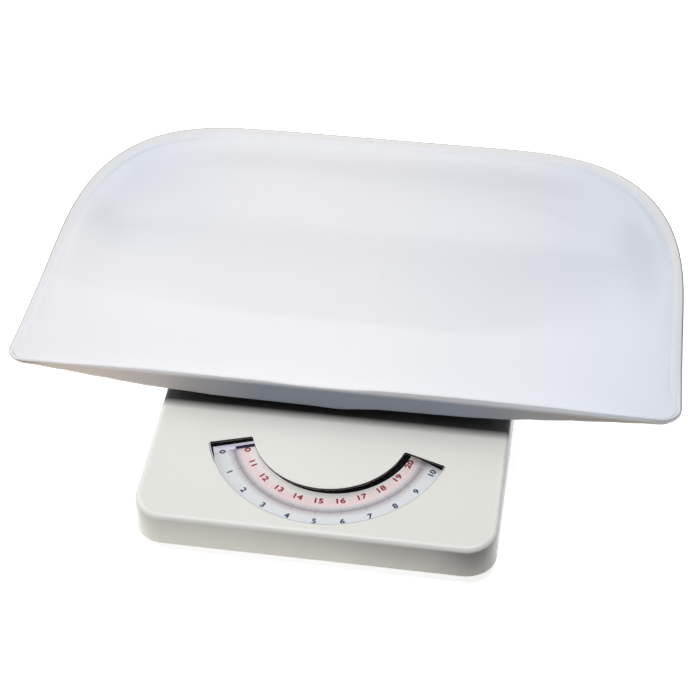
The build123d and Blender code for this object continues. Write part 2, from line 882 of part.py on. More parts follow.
def pinion_sketch():
    """Pinion with involute-sided teeth, thinned by the backlash."""
    pressure = math.radians(pressure_angle)
    base = pinion_radius * math.cos(pressure)
    root = pinion_radius - tooth_dedendum * tooth_module
    tip = pinion_radius + tooth_addendum * tooth_module
    half_tooth = math.pi / 2 / pinion_teeth - mesh_backlash / 2 / pinion_radius
    spread = math.tan(pressure) - pressure
    points = []
    for tooth in range(pinion_teeth):
        centre = 2 * math.pi * tooth / pinion_teeth
        right = []
        for radius in (root, base, pinion_radius, (pinion_radius + tip) / 2, tip):
            angle = math.acos(min(base / radius, 1.0))
            half = half_tooth + spread - (math.tan(angle) - angle)
            right.append((radius, half))
        for radius, half in right:
            points.append((radius * math.cos(centre - half), radius * math.sin(centre - half)))
        for radius, half in reversed(right):
            points.append((radius * math.cos(centre + half), radius * math.sin(centre + half)))
    return make_face(Polyline(*points, close=True)) - Circle(spindle_radius)


def make_pinion():
    under = rack_under - pinion_width / 2
    return under_panel(under, pinion_sketch(), pinion_width)


def rack_sketch():
    """Rack beside the pinion: a toothed bar that runs back to the crank's pin."""
    start = -rack_travel - rack_spare_teeth * tooth_pitch
    end = rack_pin_start + 2 * rack_pin_radius
    middle = Pos(rack_x, (start + end) / 2) * Rectangle(rack_back, end - start)
    pressure = math.radians(pressure_angle)
    half = tooth_pitch / 4 - mesh_backlash / 2
    root_half = half + tooth_dedendum * tooth_module * math.tan(pressure)
    tip_half = half - tooth_addendum * tooth_module * math.tan(pressure)
    tip_x = rack_pitch_x - tooth_addendum * tooth_module
    sketch = middle
    count = round(rack_travel / tooth_pitch) + 2 * rack_spare_teeth
    for tooth in range(count):
        place = (rack_spare_teeth - tooth - 0.5) * tooth_pitch
        outline = Polyline(
            (rack_root_x, place - root_half),
            (tip_x, place - tip_half),
            (tip_x, place + tip_half),
            (rack_root_x, place + root_half),
            close=True,
        )
        sketch += make_face(outline)
    return sketch


def make_rack():
    body = under_panel(rack_under - rack_thickness / 2, rack_sketch(), rack_thickness)
    end = crank_x + crank_plate / 2 + rack_pin_radius
    pin = Pos(rack_x, rack_pin_start, -rack_under) * Rot(0, 90, 0)
    pin = panel * pin * Cylinder(rack_pin_radius, end - rack_x, align=(Align.CENTER, Align.CENTER, Align.MIN))
    return body + pin


def make_rack_guide():
    """Rail on the movement plate that holds the rack in mesh."""
    back = rack_x + rack_back / 2 + guide_gap
    front = rack_root_x
    top = rack_under - rack_thickness / 2
    floor = rack_under + rack_thickness / 2 + guide_gap
    plate = dial_recess + movement_drop
    middle = guide_near + guide_length / 2
    shelf = Pos((front + back) / 2, middle) * Rectangle(back - front, guide_length)
    wall = Pos(back + guide_wall / 2, middle) * Rectangle(guide_wall, guide_length)
    return under_panel(floor, shelf, plate - floor) + under_panel(top, wall, plate - top)


def rack_front():
    return -rack_travel - rack_spare_teeth * tooth_pitch


def make_return_spring():
    """Light spring that draws the rack forward, with a straight hook at each end."""
    start = rack_front() - contact_gap
    place = panel * Pos(rack_x, start, -rack_under) * Rot(90, 0, 0)
    low = (Align.CENTER, Align.CENTER, Align.MIN)
    body = Cylinder(return_spring_radius, return_spring_length, align=low)
    body -= Cylinder(return_spring_bore, return_spring_length, align=low)
    closed = Cylinder(return_spring_radius, peg_radius, align=low)
    return place * (body + closed)


def make_spring_peg():
    top = dial_recess + card_thickness + dial_plate_thickness
    up = rack_front() - 2 * contact_gap - return_spring_length - peg_radius
    return panel_rod(rack_x, up, top, rack_under + return_spring_radius - top, peg_radius)


def make_crank():
    """Bell crank: a roller arm under the yoke's finger and a slotted arm on the rack's pin."""
    width = crank_plate
    input_arm = Pos(0, crank_input / 2, 0) * Box(width, crank_input, crank_input_width)
    roller = Pos(0, crank_input, 0) * Rot(0, 90, 0) * Cylinder(roller_radius, width)
    half_slot = rack_pin_radius + rack_pin_play
    near = crank_output - half_slot
    far = crank_output / math.cos(crank_half_swing) + half_slot
    length = far + crank_arm_end
    output_arm = Pos(0, 0, length / 2) * Box(width, crank_arm_width, length)
    slot = Pos(0, 0, (near + far) / 2) * Box(2 * width, 2 * half_slot, far - near)
    hub = Rot(0, 90, 0) * Cylinder(crank_hub_radius, width)
    bore = Rot(0, 90, 0) * Cylinder(pin_radius + pin_gap, 2 * width)
    turn_in = Rot(math.degrees(crank_half_swing), 0, 0)
    turn_out = Rot(panel_tilt + math.degrees(crank_half_swing), 0, 0)
    body = turn_in * (input_arm + roller) + turn_out * (output_arm - slot) + hub - bore
    return Pos(crank_x, y_at(crank_depth), crank_height) * body


def make_crank_bracket():
    """Clevis on the pan that carries the crank's pivot."""
    inner = crank_plate / 2 + crank_bracket_gap
    outer = inner + crank_bracket_plate
    half = crank_arm_width / 2 + crank_bracket_margin
    span = (crank_depth - half, crank_depth + half)
    top = crank_height + pin_radius + crank_bracket_plate
    body = Part()
    for side in (-1, 1):
        cheek = sorted((crank_x + side * inner, crank_x + side * outer))
        body += block(cheek, span, (pan_floor, top))
    floor = (crank_x - outer, crank_x + outer)
    body += block(floor, span, (pan_floor, pan_floor + crank_bracket_plate / 2))
    body -= rod(along_x, (crank_x - 2 * outer, crank_depth, crank_height), 4 * outer, pin_radius)
    return body


def make_crank_pin():
    half = crank_plate / 2 + crank_bracket_gap + crank_bracket_plate + crank_bracket_margin
    return rod(along_x, (crank_x - half, crank_depth, crank_height), 2 * half, pin_radius)


def build_parts():
    parts = {}
    parts["top_cover"] = make_cover()
    parts["window_lens"] = make_lens()
    parts["tray"] = make_tray()
    parts["tray_screws"] = make_tray_screws()
    parts["base_pan"] = make_pan()
    for name, place in foot_places().items():
        parts["foot_" + name] = make_foot(*place)
    parts["foot_screws"] = make_foot_screws()
    parts["front_lever"] = set_front_lever(lever_frame(front_reach))
    parts["front_lever_pins"] = [set_front_lever(pin) for pin in lever_pins(front_reach)]
    parts["back_lever"] = set_back_lever(lever_frame(back_reach))
    parts["back_lever_pins"] = [set_back_lever(pin) for pin in lever_pins(back_reach)]
    front_load = load_place(front_reach, fulcrum_inset, 1)
    back_load = load_place(back_reach, fulcrum_back_depth, -1)
    for name, side in (("left", -1), ("right", 1)):
        parts["fulcrum_front_" + name] = make_fulcrum(side, fulcrum_inset)
        parts["fulcrum_back_" + name] = make_fulcrum(side, fulcrum_back_depth)
        parts["hanger_front_" + name] = make_hanger(side, *front_load)
        parts["hanger_back_" + name] = make_hanger(side, *back_load)
    parts["spring_yoke"] = make_yoke()
    parts["main_spring"] = make_main_spring()
    parts["spring_tower"] = make_tower()
    parts["anchor_arm"] = make_anchor_arm()
    parts["anchor_pin"] = make_anchor_pin()
    parts["zero_nut"] = make_zero_nut()
    parts["zero_shaft"] = make_zero_shaft()
    parts["zero_bracket"] = make_zero_bracket()
    parts["zero_knob"] = make_zero_knob()
    parts["dial_plate"] = make_dial_plate()
    parts["dial_card"] = make_dial_card()
    parts["dial_posts"] = make_dial_posts()
    parts["movement_plate"] = make_movement_plate()
    parts["movement_spacers"] = make_spacers()
    parts["upper_bush"] = make_bush(dial_recess + card_thickness, dial_plate_thickness)
    parts["lower_bush"] = make_bush(dial_recess + movement_drop, movement_plate_thickness)
    low, high, cap = needle_levels()
    parts["needle_low_range"] = make_needle(needle_zero_angle, low)
    parts["needle_high_range"] = make_needle(needle_zero_angle - needle_lag, high)
    parts["needle_cap"] = make_cap()
    parts["spindle"] = make_spindle()
    parts["pinion"] = make_pinion()
    parts["rack"] = make_rack()
    parts["rack_guide"] = make_rack_guide()
    parts["return_spring"] = make_return_spring()
    parts["spring_peg"] = make_spring_peg()
    parts["bell_crank"] = make_crank()
    parts["crank_bracket"] = make_crank_bracket()
    parts["crank_pin"] = make_crank_pin()
    return parts


os.makedirs("parts", exist_ok=True)
for node, shape in build_parts().items():
    if isinstance(shape, list):
        shape = Compound(children=[Part(piece.wrapped) for piece in shape])
    export_step(shape, "parts/" + node + ".step")
print("crank arms", round(crank_input, 3), round(crank_output, 3), "rack travel", round(rack_travel, 3))
print("lever tilts", round(lever_tilt(front_reach), 4), round(lever_tilt(back_reach), 4), "radians")
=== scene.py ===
"""A mechanical baby scale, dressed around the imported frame. Lengths are in metres, in the frame's axes."""
import math

import bpy
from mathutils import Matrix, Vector


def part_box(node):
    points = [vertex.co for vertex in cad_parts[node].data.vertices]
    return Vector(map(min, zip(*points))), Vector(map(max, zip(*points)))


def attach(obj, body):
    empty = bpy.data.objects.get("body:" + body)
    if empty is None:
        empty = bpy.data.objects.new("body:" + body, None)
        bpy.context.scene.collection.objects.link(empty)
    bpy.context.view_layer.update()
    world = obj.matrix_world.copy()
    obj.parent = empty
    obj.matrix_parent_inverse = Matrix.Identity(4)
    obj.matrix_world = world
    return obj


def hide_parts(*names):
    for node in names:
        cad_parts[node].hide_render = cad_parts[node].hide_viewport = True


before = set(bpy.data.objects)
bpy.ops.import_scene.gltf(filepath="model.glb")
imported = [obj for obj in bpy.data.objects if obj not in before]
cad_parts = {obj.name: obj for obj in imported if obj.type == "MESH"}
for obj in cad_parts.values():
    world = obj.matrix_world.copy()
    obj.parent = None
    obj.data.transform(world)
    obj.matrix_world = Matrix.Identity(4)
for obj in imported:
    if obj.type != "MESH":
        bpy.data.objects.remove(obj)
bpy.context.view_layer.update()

MM = 0.001


def srgb(red, green, blue):
    """Linear colour of an sRGB one given in 0 to 255."""
    out = []
    for value in (red, green, blue):
        share = value / 255
        out.append(share / 12.92 if share <= 0.04045 else ((share + 0.055) / 1.055) ** 2.4)
    return (*out, 1.0)


def smooth(low, high, value):
    share = min(max((value - low) / (high - low), 0.0), 1.0)
    return share * share * (3 - 2 * share)


# Sizes that the materials and the pieces share

tilt = math.radians(8.7)
panel_origin = Vector((0.0, -0.0977606, 0.0521471))
panel_up = Vector((0.0, math.cos(tilt), math.sin(tilt)))
panel_out = Vector((0.0, -math.sin(tilt), math.cos(tilt)))

tray_low, tray_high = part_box("tray")
skin = 0.0001
half_length = (tray_high.x - tray_low.x) / 2 - skin
front_y = tray_low.y + skin
back_y = tray_high.y - skin
corner_long = 0.184
corner_deep = 0.170
corner_power = 3.2

# Materials


class Nodes:
    """Small helper round a material's node tree."""

    def __init__(self, name):
        self.material = bpy.data.materials.new(name)
        self.material.use_nodes = True
        self.tree = self.material.node_tree
        self.shader = self.tree.nodes["Principled BSDF"]

    def add(self, kind, **values):
        node = self.tree.nodes.new(kind)
        for key, value in values.items():
            setattr(node, key, value)
        return node

    def link(self, start, end):
        self.tree.links.new(start, end)

    def coords(self):
        """Place in the frame's axes, from one node for the whole material."""
        if not hasattr(self, "place"):
            self.place = self.add("ShaderNodeTexCoord").outputs["Object"]
        return self.place

    def split(self, source=None):
        """X, Y and Z of a vector, or of the place."""
        node = self.add("ShaderNodeSeparateXYZ")
        self.link(source or self.coords(), node.inputs["Vector"])
        return node.outputs["X"], node.outputs["Y"], node.outputs["Z"]

    def minus(self, origin):
        """Place as seen from a fixed point."""
        node = self.add("ShaderNodeVectorMath", operation="SUBTRACT")
        self.link(self.coords(), node.inputs[0])
        node.inputs[1].default_value = origin
        return node.outputs["Vector"]

    def dot(self, source, axis):
        """Share of a vector along a fixed axis."""
        node = self.add("ShaderNodeVectorMath", operation="DOT_PRODUCT")
        self.link(source, node.inputs[0])
        node.inputs[1].default_value = axis
        return node.outputs["Value"]

    def noise(self, scale, detail=2.0, roughness=0.5, stretch=None):
        node = self.add("ShaderNodeTexNoise")
        node.inputs["Scale"].default_value = scale
        node.inputs["Detail"].default_value = detail
        node.inputs["Roughness"].default_value = roughness
        if stretch:
            mapping = self.add("ShaderNodeMapping")
            mapping.inputs["Scale"].default_value = stretch
            self.link(self.coords(), mapping.inputs["Vector"])
            self.link(mapping.outputs["Vector"], node.inputs["Vector"])
        else:
            self.link(self.coords(), node.inputs["Vector"])
        return node.outputs["Fac"]

    def ramp(self, source, stops):
        node = self.add("ShaderNodeValToRGB")
        elements = node.color_ramp.elements
        while len(elements) < len(stops):
            elements.new(0.5)
        for element, (place, colour) in zip(elements, stops):
            element.position = place
            element.color = colour
        self.link(source, node.inputs["Fac"])
        return node.outputs["Color"]

    def spread(self, source, low, high, start=0.35, end=0.65):
        """Runs from low to high while the source goes from start to end, and stays level outside."""
        node = self.add("ShaderNodeMapRange")
        node.inputs["From Min"].default_value = start
        node.inputs["From Max"].default_value = end
        node.inputs["To Min"].default_value = low
        node.inputs["To Max"].default_value = high
        self.link(source, node.inputs["Value"])
        return node.outputs["Result"]

    def rise(self, source, start, end, top=1.0):
        return self.spread(source, 0.0, top, start, end)

    def fall(self, source, start, end, top=1.0):
        return self.spread(source, top, 0.0, start, end)

    def math(self, operation, first, second=None):
        node = self.add("ShaderNodeMath", operation=operation)
        for socket, value in zip(node.inputs, (first, second)):
            if value is None:
                continue
            if isinstance(value, (int, float)):
                socket.default_value = value
            else:
                self.link(value, socket)
        return node.outputs["Value"]

    def product(self, first, *others):
        for other in others:
            first = self.math("MULTIPLY", first, other)
        return first

    def distance(self, across, up):
        squares = self.math("ADD", self.math("POWER", across, 2.0), self.math("POWER", up, 2.0))
        return self.math("SQRT", squares)

    def mix(self, factor, first, second):
        node = self.add("ShaderNodeMix", data_type="RGBA")
        pairs = ((node.inputs["Factor"], factor), (node.inputs[6], first), (node.inputs[7], second))
        for socket, value in pairs:
            if isinstance(value, (int, float, tuple)):
                socket.default_value = value
            else:
                self.link(value, socket)
        return node.outputs[2]

    def edges(self, reach):
        """Share of edge, from how far a rounded normal turns away from the face's own."""
        soft = self.add("ShaderNodeBevel", samples=4)
        soft.inputs["Radius"].default_value = reach
        own = self.add("ShaderNodeNewGeometry")
        both = self.add("ShaderNodeVectorMath", operation="DOT_PRODUCT")
        self.link(soft.outputs["Normal"], both.inputs[0])
        self.link(own.outputs["Normal"], both.inputs[1])
        return self.spread(both.outputs["Value"], 1.0, 0.0, 0.86, 0.995)

    def bump(self, height, strength, distance):
        node = self.add("ShaderNodeBump")
        node.inputs["Strength"].default_value = strength
        node.inputs["Distance"].default_value = distance
        self.link(height, node.inputs["Height"])
        self.link(node.outputs["Normal"], self.shader.inputs["Normal"])

    def set(self, name, value):
        socket = self.shader.inputs[name]
        if isinstance(value, (int, float, tuple)):
            socket.default_value = value
        else:
            self.link(value, socket)


def plastic(name, colour, shade, rough, grain, grain_depth, worn_or_shaded=None, paint_light=None):
    """Moulded plastic: very faint clouding, fine surface grain, uneven gloss and rubbed edges.

    A function passed in paints light and shade into the body's colour from place to place, under the rubbed
    edges.
    """
    made = Nodes(name)
    body = made.mix(made.spread(made.noise(7.0, 2.0, 0.5), 0.0, 1.0, 0.2, 0.8), colour, shade)
    if paint_light:
        body = paint_light(made, body)
    # Rubbed edges: wear, and on a piece whose edge colour is much darker than its shade, a painted shade
    # line.
    rubbed = made.product(made.edges(0.0012), made.spread(made.noise(120.0, 3.0), 0.25, 0.8, 0.3, 0.7))
    made.set("Base Color", made.mix(rubbed, body, worn_or_shaded or shade))
    gloss = made.spread(made.noise(14.0, 3.0, 0.5), rough - 0.015, rough + 0.015, 0.2, 0.8)
    made.set("Roughness", made.math("ADD", gloss, made.product(rubbed, 0.10)))
    made.bump(made.noise(grain, 3.0, 0.6), 0.3, grain_depth)
    return made.material


def metal(name, colour, shade, rough, stretch):
    """Sheet or turned metal with fine drawn lines, dull spots and bright edges."""
    made = Nodes(name)
    lines = made.noise(420.0, 4.0, 0.65, stretch)
    spots = made.spread(made.noise(70.0, 4.0, 0.7), 0.0, 1.0, 0.4, 0.68)
    rubbed = made.edges(0.0006)
    made.set("Base Color", made.mix(made.product(rubbed, 0.5), made.mix(spots, colour, shade), colour))
    made.set("Metallic", 1.0)
    drawn = made.spread(lines, rough - 0.06, rough + 0.1)
    made.set("Roughness", made.math("SUBTRACT", drawn, made.product(rubbed, 0.05)))
    made.bump(lines, 0.25, 0.00004)
    return made.material


# The cover's painted light and shade, in the panel's own plane and in the frame's axes

wall_inner = 0.0634
wall_outer = 0.1009
wall_edge = 0.0004
tuck_start = 0.0036
tuck_end = 0.0130
cover_front = -0.200
cover_side = 0.138
# Colours of painted shade and painted light on the cover
wall_shade_black = srgb(16, 16, 18)
tray_shadow_dark = srgb(24, 25, 28)
fillet_highlight = srgb(255, 255, 252)
front_warm_light = srgb(249, 243, 228)
front_shade_grey = srgb(178, 176, 172)
side_shade_grey = srgb(186, 184, 182)
corner_dark = srgb(56, 54, 52)


def cover_tones(made, body):
    """Painted shade on the window's walls, a painted shadow under the tray's front, a painted highlight on
    the front rounding, and painted light and shade on the front face and right side.
    """
    on_panel = made.minus(panel_origin)
    across = made.dot(on_panel, Vector((1, 0, 0)))
    up = made.dot(on_panel, panel_up)
    out = made.dot(on_panel, panel_out)
    x, y, z = made.split()

    # Painted shade: the window's cut walls under the panel's face are coloured near black, and the strip of
    # the panel under the tray's front gets a painted shadow
    radius = made.distance(across, up)
    walls = made.product(
        made.rise(radius, wall_inner, wall_inner + wall_edge),
        made.fall(radius, wall_outer - wall_edge, wall_outer),
        made.fall(out, -0.0005, -0.0002),
        made.fall(up, -0.012, -0.011),
    )
    tray_shadow_mask = made.product(made.rise(up, tuck_start, tuck_end, 0.95), made.rise(out, -0.004, -0.001))

    # A painted highlight on the rounding between panel and front; on the front face, painted warm bounce
    # light, and painted shade that greys it to the right and at the top
    facing = made.dot(made.coords().node.outputs["Normal"], panel_out)
    rounded = made.product(made.fall(facing, 0.985, 0.999), made.rise(facing, 0.66, 0.84), 0.9)
    upright = made.fall(facing, 0.30, 0.62)
    at_front = made.fall(y, cover_front, cover_front + 0.010)
    front = made.product(upright, at_front)
    high = made.rise(z, 0.010, 0.032, 0.42)
    right = made.rise(x, 0.02, 0.13, 0.60)
    body = made.mix(rounded, body, fillet_highlight)
    body = made.mix(made.product(front, 0.6), body, front_warm_light)
    body = made.mix(made.product(front, made.math("ADD", high, right)), body, front_shade_grey)

    # Painted shade on the right side, fading out towards the back
    ahead = made.fall(y, 0.080, 0.125)
    end = made.product(upright, made.rise(x, cover_side - 0.010, cover_side, 0.75), ahead)
    body = made.mix(end, body, side_shade_grey)

    # The shade that deepens up the front's middle and round its right corner
    climb = made.rise(z, 0.006, 0.030)
    middle = made.product(climb, made.spread(x, 0.06, 0.28, -0.06, 0.05), at_front)
    corner = made.product(
        made.rise(x, 0.094, 0.124),
        made.spread(x, 1.0, 0.50, 0.128, 0.141),
        made.spread(climb, 0.16, 0.40, 0.0, 1.0),
        made.fall(y, -0.175, -0.080),
    )
    body = made.mix(made.product(upright, made.math("ADD", middle, corner)), body, corner_dark)
    return made.mix(walls, made.mix(tray_shadow_mask, body, tray_shadow_dark), wall_shade_black)


cover_white = plastic("cover_moulding", srgb(246, 246, 241), srgb(243, 242, 236), 0.24, 1500.0, 0.00005,
                      paint_light=cover_tones)

# The tray's painted light and shade

face_front = -0.0869
face_shade_grey = srgb(161, 168, 182)
face_warm_light_left = srgb(226, 211, 198)
face_warm_light_right = srgb(168, 158, 136)
inside_shaded = srgb(238, 239, 244)
inside_shade_blue = srgb(229, 234, 242)
bowl_shade_blue = srgb(212, 220, 232)
lip_band_lit = srgb(239, 238, 238)
rim_shade_grey = srgb(124, 124, 118)
rim_right_shade = srgb(140, 142, 152)


def tray_tones(made, body):
    """Painted shade on a duller outer face under the front rim and in bluer back corners, and a painted lit
    band and a painted shade line round the rim.
    """
    x, y, z = made.split()

    # Painted shade on the inside: duller to the back, and bluer to the right and in the two back corners
    body = made.mix(made.rise(y, 0.0200, 0.0235, 0.32), body, inside_shaded)
    body = made.mix(made.rise(y, 0.03, 0.15, 0.6), body, inside_shaded)
    body = made.mix(made.rise(x, 0.02, 0.24), body, inside_shade_blue)
    away = made.math("ABSOLUTE", x)
    bowl = made.product(made.rise(away, 0.130, 0.225), made.rise(y, 0.070, 0.160, 0.60))
    body = made.mix(bowl, body, bowl_shade_blue)

    # How far out a point lies, as the corner's superellipse counts it, with 1 at the rim
    wide = made.rise(away, half_length - corner_long, half_length)
    deep = made.rise(y, back_y - corner_deep, back_y)
    reach = made.math("ADD", made.math("POWER", wide, corner_power), made.math("POWER", deep, corner_power))
    # Painted light: the lip band along the back gets the neutral tone of its lit face. Painted shade: a grey
    # line round the rim's outer edge, darker along the right side.
    band = made.product(made.rise(reach, 0.855, 0.885, 0.8), made.rise(y, 0.02, 0.11))
    body = made.mix(band, body, lip_band_lit)
    rim = made.product(made.rise(reach, 0.968, 0.985, 0.95), made.spread(y, 0.3, 1.0, -0.10, 0.11))
    body = made.mix(rim, body, rim_shade_grey)
    body = made.mix(made.rise(x, half_length - 0.0020, half_length - 0.0008, 0.6), body, rim_right_shade)

    # Painted shade on the outer face of the front, with painted warm bounce light at its left and right
    under_rim = made.product(
        made.fall(y, face_front, face_front + 0.0009),
        made.fall(z, 0.0795, 0.0832),
    )
    tone = made.mix(made.fall(x, -0.20, -0.06), face_shade_grey, face_warm_light_left)
    tone = made.mix(made.rise(x, 0.10, 0.24), tone, face_warm_light_right)
    return made.mix(under_rim, body, tone)


# The tray's edge colour, much darker than its shade, paints a shade line along the rounded edges.
tray_white = plastic("tray_moulding", srgb(248, 248, 251), srgb(246, 246, 250), 0.22, 700.0, 0.00003,
                     worn_or_shaded=srgb(168, 170, 184), paint_light=tray_tones)
pan_grey = plastic("pan_paint", srgb(196, 196, 192), srgb(184, 184, 180), 0.46, 1800.0, 0.00008)
rubber = plastic("foot_rubber", srgb(44, 44, 46), srgb(34, 34, 35), 0.7, 900.0, 0.00012)
knob_black = plastic("knob_moulding", srgb(46, 46, 49), srgb(38, 38, 41), 0.42, 1500.0, 0.00006)
needle_ink = plastic("needle_dark", srgb(46, 22, 92), srgb(34, 14, 70), 0.5, 1200.0, 0.00002)
needle_red = plastic("needle_red", srgb(178, 38, 46), srgb(150, 28, 36), 0.5, 1200.0, 0.00002)
# The dial plate is near black with little reflection: a dark sheet standing in for the shade seen past the
# card's edges.
plate_black = plastic("plate_black", srgb(14, 14, 16), srgb(9, 9, 11), 0.7, 1400.0, 0.00003)
plate_black.node_tree.nodes["Principled BSDF"].inputs["Specular IOR Level"].default_value = 0.1
brass = metal("turned_brass", srgb(214, 186, 112), srgb(180, 146, 80), 0.3, (1.0, 1.0, 6.0))
zinc = metal("zinc_steel", srgb(196, 198, 202), srgb(160, 163, 168), 0.36, (1.0, 6.0, 1.0))
spring_steel = metal("spring_steel", srgb(150, 152, 156), srgb(110, 112, 116), 0.32, (1.0, 1.0, 14.0))

lens = Nodes("lens_clear")
lens.set("Base Color", lens.ramp(lens.noise(30.0), [(0.3, srgb(58, 62, 68)), (0.7, srgb(72, 76, 82))]))
lens.set("Roughness", lens.spread(lens.noise(60.0, 4.0), 0.05, 0.12))
lens.set("Alpha", 0.04)
lens.bump(lens.noise(25.0), 0.1, 0.0002)

finish = {
    "top_cover": cover_white,
    "window_lens": lens.material,
    "base_pan": pan_grey,
    "zero_knob": knob_black,
    "needle_cap": knob_black,
    "needle_low_range": needle_ink,
    "needle_high_range": needle_red,
    "dial_plate": plate_black,
    "upper_bush": brass,
    "lower_bush": brass,
    "pinion": brass,
    "rack": brass,
    "main_spring": spring_steel,
    "return_spring": spring_steel,
}
for side in ("front_left", "front_right", "back_left", "back_right"):
    finish["foot_" + side] = rubber


# Dial

dial_recess = 0.0089
card_lift = 0.00004
print_lift = 0.00002
layer_lift = 0.00001


def on_card(x, up, lift=card_lift):
    """Point over the dial card, from its place in the panel's own plane."""
    return panel_origin + Vector((x, 0, 0)) + panel_up * up + panel_out * (lift - dial_recess)


def piece(name, points, faces, material, body):
    """Makes a mesh, with its material, that rides on a body."""
    mesh = bpy.data.meshes.new(name)
    mesh.from_pydata([tuple(p) for p in points], [], faces)
    mesh.materials.append(material)
    made = bpy.data.objects.new(name, mesh)
    bpy.context.scene.collection.objects.link(made)
    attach(made, body)
    return made


def ink(name, colour, shade):
    """Printing ink on the card, a little uneven."""
    made = Nodes(name)
    made.set("Base Color", made.ramp(made.noise(900.0, 3.0), [(0.35, colour), (0.65, shade)]))
    made.set("Roughness", made.spread(made.noise(500.0), 0.5, 0.65))
    made.bump(made.noise(2500.0), 0.15, 0.00002)
    return made.material


ink_red = ink("ink_red", srgb(168, 30, 48), srgb(182, 44, 62))
ink_blue = ink("ink_blue", srgb(38, 60, 100), srgb(50, 76, 120))
ink_mauve = ink("ink_mauve", srgb(140, 132, 144), srgb(156, 148, 160))
ink_seam = ink("ink_seam", srgb(200, 202, 204), srgb(208, 210, 212))

zero_mark = math.radians(-160.0)
mark_step = math.radians(14.0)
marks = 10
marks_apart = 10
tick_outer = 0.0830
tick_middle = 0.0805
tick_inner = 0.0780
middle_half = 0.00022
blue_radius = 0.0903
blue_wide = 1.15
red_radius = 0.0701
red_wide = 1.34
number_size = 0.0066
number_bold = 0.00032
seam_radius = 0.0992
seam_half = 0.0004
seam_lift = dial_recess - 0.00025
seam_from = math.radians(-162.8)
seam_to = math.radians(-17.2)


def bar(points, faces, angle, start, end, half):
    """Adds a narrow bar along a radius of the dial."""
    along = (math.cos(angle), math.sin(angle))
    across = (-along[1] * half, along[0] * half)
    first = len(points)
    for radius, side in ((start, -1), (end, -1), (end, 1), (start, 1)):
        points.append(on_card(along[0] * radius + across[0] * side, along[1] * radius + across[1] * side))
    faces.append((first, first + 1, first + 2, first + 3))


def arc_line(points, faces, radius, half, start, end, steps, lift=card_lift):
    """Adds a thin line round the dial, at a lift over the card."""
    first = len(points)
    for step in range(steps + 1):
        angle = start + (end - start) * step / steps
        for r in (radius - half, radius + half):
            points.append(on_card(math.cos(angle) * r, math.sin(angle) * r, lift))
    for step in range(steps):
        a = first + 2 * step
        faces.append((a, a + 1, a + 3, a + 2))


def tick_form(tick):
    """Share of the row's width that a tick takes, and half its own width."""
    if tick % marks_apart == 0:
        return 1.0, 0.00026
    if tick % (marks_apart // 2) == 0:
        return 0.85, 0.00018
    return 0.6, 0.00013


for name, edge in (("ticks_inner", tick_inner), ("ticks_outer", tick_outer)):
    points, faces = [], []
    for tick in range(marks * marks_apart + 1):
        share, half = tick_form(tick)
        angle = zero_mark + mark_step * tick / marks_apart
        low, high = sorted((tick_middle, tick_middle + (edge - tick_middle) * share))
        bar(points, faces, angle, low, high, half)
    if name == "ticks_inner":
        arc_line(points, faces, tick_middle, middle_half, zero_mark, zero_mark + marks * mark_step, 80)
    piece(name, points, faces, ink_mauve, "base")

# The pale line that the lens shows along its outer edge lies just over the lens.
points, faces = [], []
arc_line(points, faces, seam_radius, seam_half, seam_from, seam_to, 120, seam_lift)
piece("window_seam", points, faces, ink_seam, "platform")


def outline_of(value, size):
    """Filled shape of a printed number, as points and faces about its own middle."""
    text = bpy.data.curves.new("digit", "FONT")
    text.body = str(value)
    text.size = size
    text.align_x = "CENTER"
    text.align_y = "CENTER"
    text.resolution_u = 6
    holder = bpy.data.objects.new("digit", text)
    bpy.context.scene.collection.objects.link(holder)
    bpy.context.view_layer.update()
    mesh = bpy.data.meshes.new_from_object(holder)
    found = [(v.co.x, v.co.y) for v in mesh.vertices]
    faces = [tuple(face.vertices) for face in mesh.polygons]
    bpy.data.objects.remove(holder)
    bpy.data.curves.remove(text)
    bpy.data.meshes.remove(mesh)
    return found, faces


def digits(name, material, values, radius, wide):
    """Row of bold numbers round the dial, each with its top towards the dial's centre, as one mesh.

    Each number is laid down four times, a little apart and one over the other, which thickens its strokes.
    """
    points, faces = [], []
    bold = number_bold
    for step, value in enumerate(values):
        angle = zero_mark + mark_step * step
        inward = (-math.cos(angle), -math.sin(angle))
        along = (-math.sin(angle), math.cos(angle))
        shape, cells = outline_of(value, number_size)
        for layer, (shift_x, shift_y) in enumerate(((-bold, 0), (bold, 0), (0, -bold), (0, bold)), 1):
            first = len(points)
            for px, py in shape:
                across = px * wide + shift_x
                high = py + shift_y
                x = along[0] * across + inward[0] * (high - radius)
                up = along[1] * across + inward[1] * (high - radius)
                points.append(on_card(x, up, card_lift + layer_lift * layer))
            faces.extend(tuple(first + v for v in cell) for cell in cells)
    piece(name, points, faces, material, "base")


digits("numbers_blue", ink_blue, range(0, marks + 1), blue_radius, blue_wide)
digits("numbers_red", ink_red, range(marks, 2 * marks + 1), red_radius, red_wide)

# The printed card, cut so that the black plate shows along its inner edge and both ends, where it stands in
# as painted shade for the dark gap.
hole_middle = (0.0029, 0.0045)
hole_radius = 0.0663
ends = {"left": ((-0.0985, -0.0286), (-0.0555, -0.0141)), "right": ((0.0640, -0.0130), (0.1005, -0.0305))}
card_outer = 0.1006
card_trim = 0.0036
trim_from = math.radians(-160)
trim_to = math.radians(-148)
card_from = math.radians(-162)
card_turn = math.radians(144)
print_steps = 96


